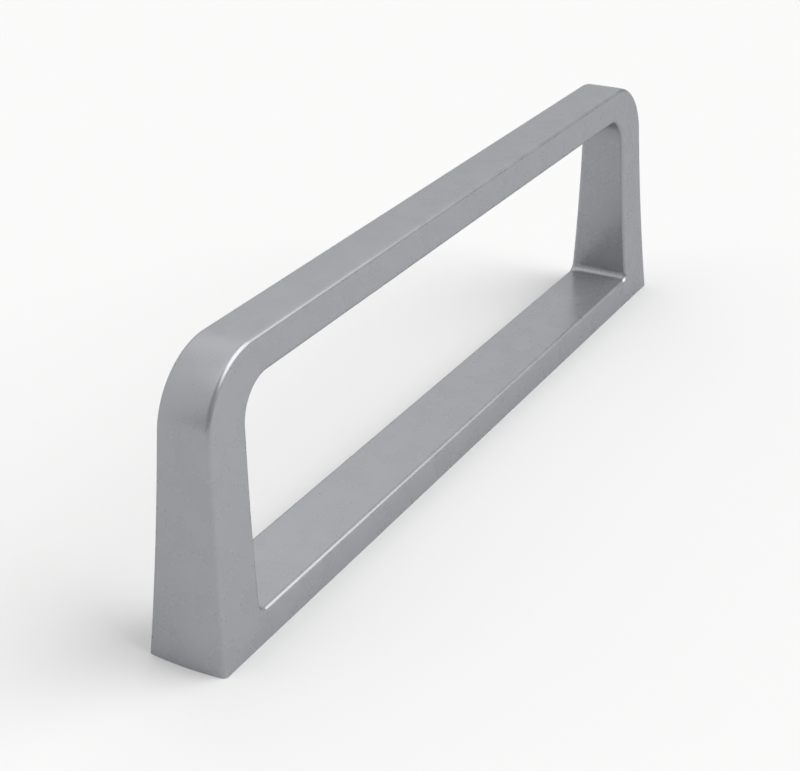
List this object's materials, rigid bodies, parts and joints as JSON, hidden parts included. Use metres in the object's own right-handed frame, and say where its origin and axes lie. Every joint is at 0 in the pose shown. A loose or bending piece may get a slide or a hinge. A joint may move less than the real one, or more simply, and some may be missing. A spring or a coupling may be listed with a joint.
{
  "type": "rack handle",
  "caption": "Closed loop pull handle: slim grip bar, leaning legs and flat base bar cast in one piece, flared towards its mounting face and fixed from behind.",
  "frame": {"origin": "middle of the flat mounting face on the underside of the base bar", "axes": "+X along the grip, +Y across it, +Z from the mounting face towards the grip"},
  "size_m": [0.1374, 0.0116, 0.0398],
  "materials": {
    "satin_metal": "fine blasted satin"
  },
  "bodies": {
    "root": {"handle": "satin_metal"}
  },
  "joints": []
}
